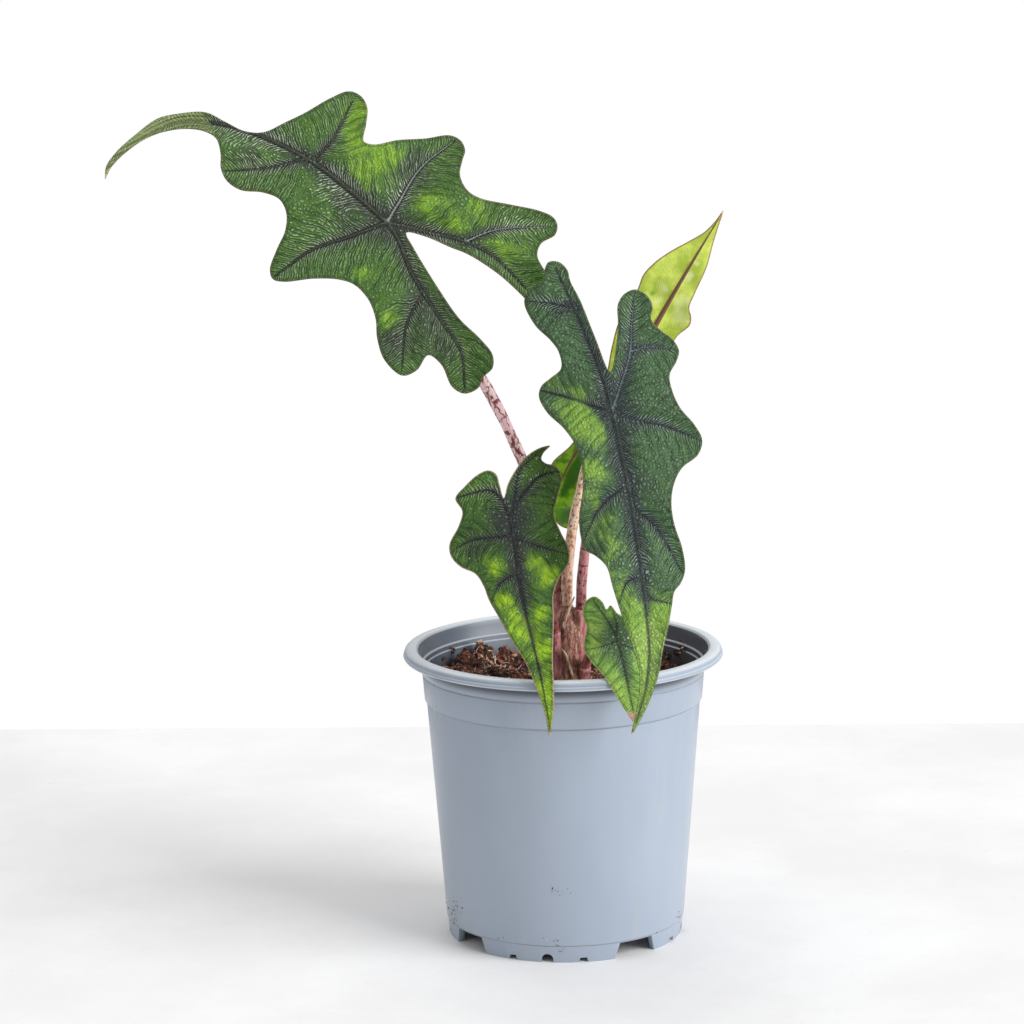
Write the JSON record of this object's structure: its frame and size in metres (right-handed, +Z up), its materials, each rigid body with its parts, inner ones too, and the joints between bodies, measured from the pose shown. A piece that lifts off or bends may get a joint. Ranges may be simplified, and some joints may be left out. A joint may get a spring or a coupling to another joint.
{
  "type": "potted jacklyn alocasia",
  "caption": "young aroid house plant with deeply lobed, textured arrow-shaped leaves on mottled stalks, in a round tapered nursery pot with a rolled rim, filled with potting soil",
  "frame": {"origin": "on the ground, under the middle of the whole plant's box; the pot's axis stands to its right, because the largest leaf reaches out to the left", "axes": "+Z up, -Y the side seen in the picture, +X to the right of the picture"},
  "size_m": [0.2274, 0.1356, 0.3157],
  "materials": {
    "pot_plastic": "moulded, faint satin sheen, a few specks of soil",
    "soil": "loose damp peat with fibres",
    "crown": "mottled red-brown, with dry papery sheaths",
    "pink_stalk": "smooth, pink with dark bands and blotches",
    "tan_stalk": "smooth, cream with brown specks",
    "green_blade": "velvety, finely ribbed, dark along the veins",
    "young_blade": "thin, yellow-green, with brown veins and edge"
  },
  "bodies": {
    "root": {"pot": "pot_plastic", "potting_soil": "soil", "stem_base": "crown", "top_leaf_stalk": "pink_stalk", "top_leaf_blade": "green_blade", "right_leaf_stalk": "pink_stalk", "right_leaf_blade": "green_blade", "left_leaf_stalk": "pink_stalk", "left_leaf_blade": "green_blade", "low_leaf_stalk": "pink_stalk", "low_leaf_blade": "green_blade", "young_leaf_stalk": "tan_stalk", "young_leaf_blade": "young_blade"}
  },
  "joints": []
}
